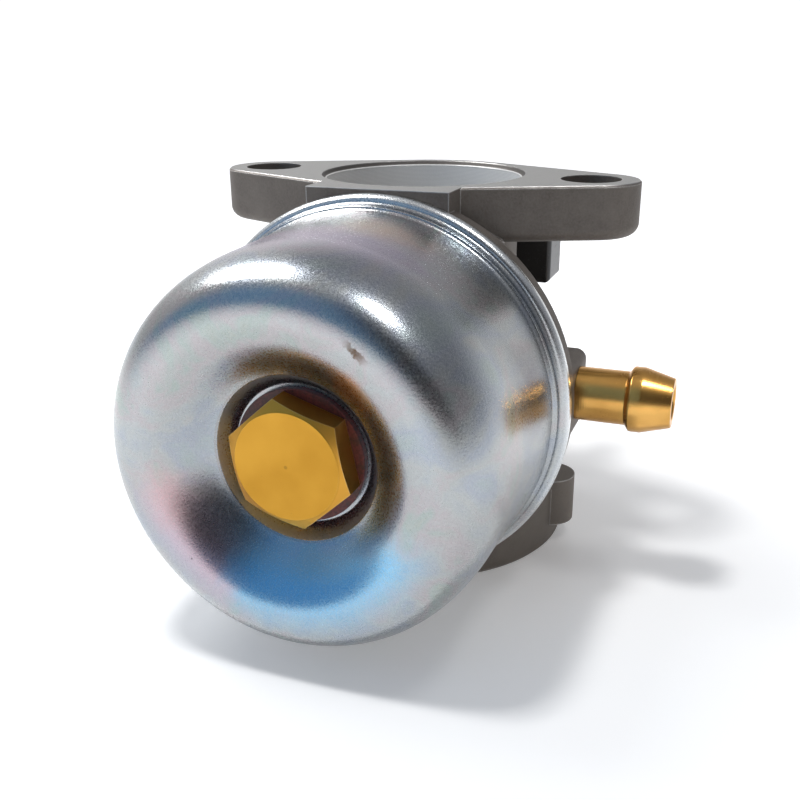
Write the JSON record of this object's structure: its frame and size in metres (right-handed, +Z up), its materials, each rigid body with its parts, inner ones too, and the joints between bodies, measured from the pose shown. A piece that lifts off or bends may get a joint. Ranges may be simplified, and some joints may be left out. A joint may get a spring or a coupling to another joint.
{
  "type": "float-bowl carburetor",
  "caption": "Small-engine carburetor: two-bolt inlet flange, throat with choke and throttle butterflies, dished float bowl held by a hexagon nut, side fuel hose tail.",
  "frame": {"origin": "centre of the outlet face, on the throat axis; it stands on this face", "axes": "+Z up the throat towards the inlet flange, -Y along the bowl's axis to its nut, +X towards the fuel hose tail"},
  "size_m": [0.0638, 0.069, 0.0497],
  "materials": {
    "cast_body": "sand-grey die casting, satin",
    "plated_bowl": "bright zinc plate, satin",
    "black_rubber": "matt",
    "nut_brass": "satin turned face",
    "red_fibre": "fibre",
    "brass": "turned",
    "plug_metal": "pressed",
    "barb_brass": "turned, bright",
    "seat_rubber": "matt",
    "steel": "ground",
    "spring_steel": "drawn wire",
    "felt": "felt",
    "black_plastic": "glossy moulding",
    "choke_plate_plastic": "moulded",
    "float_plastic": "moulded",
    "needle_metal": "turned",
    "plated_screw": "zinc plated"
  },
  "bodies": {
    "carburetor": {"carburetor_body": "cast_body", "float_bowl": "plated_bowl", "bowl_gasket": "black_rubber", "bowl_nut": "nut_brass", "bowl_nut_washer": "red_fibre", "main_nozzle": "brass", "pilot_jet": "brass", "pilot_jet_plug": "plug_metal", "progression_plug": "plug_metal", "fuel_inlet_barb": "barb_brass", "needle_seat": "seat_rubber", "float_hinge_pin": "steel", "throttle_return_spring": "spring_steel", "idle_screw_spring": "spring_steel", "throttle_felt_washer": "felt", "choke_felt_washer": "felt"},
    "throttle": {"throttle_shaft": "steel", "throttle_lever": "black_plastic", "throttle_plate": "brass", "throttle_plate_screw": "steel"},
    "choke": {"choke_shaft": "black_plastic", "choke_plate": "choke_plate_plastic", "choke_plate_screw": "steel"},
    "float_assembly": {"float": "float_plastic", "needle_clip": "spring_steel"},
    "needle": {"inlet_needle": "needle_metal"},
    "idle_screw": {"idle_speed_screw": "plated_screw"}
  },
  "joints": [
    {"name": "throttle_hinge", "type": "hinge", "parent": "carburetor", "child": "throttle", "pos_m": [0, 0, 0.014], "axis": [0, -1, 0], "range_deg": [0, 75], "stiffness_Nm_per_rad": 0.008, "springref_deg": -28.65, "deforming": ["throttle_return_spring"]},
    {"name": "choke_hinge", "type": "hinge", "parent": "carburetor", "child": "choke", "pos_m": [0, 0, 0.0375], "axis": [0, -1, 0], "range_deg": [0, 80]},
    {"name": "float_hinge", "type": "hinge", "parent": "carburetor", "child": "float_assembly", "pos_m": [0.01725, -0.0219, 0.0247], "axis": [0, 0, 1], "range_deg": [0, 6]},
    {"name": "needle_slide", "type": "slide", "parent": "carburetor", "child": "needle", "axis": [0, -1, 0], "range_m": [0, 0.0005]},
    {"name": "idle_screw_turn", "type": "hinge", "parent": "carburetor", "child": "idle_screw", "pos_m": [-0.008, 0.0188, 0.022], "axis": [0, 0, 1], "range_deg": [0, 1080]}
  ],
  "couplings": [
    {"joint": "needle_slide", "follows": "float_hinge", "m_per_rad": 0.0045}
  ]
}
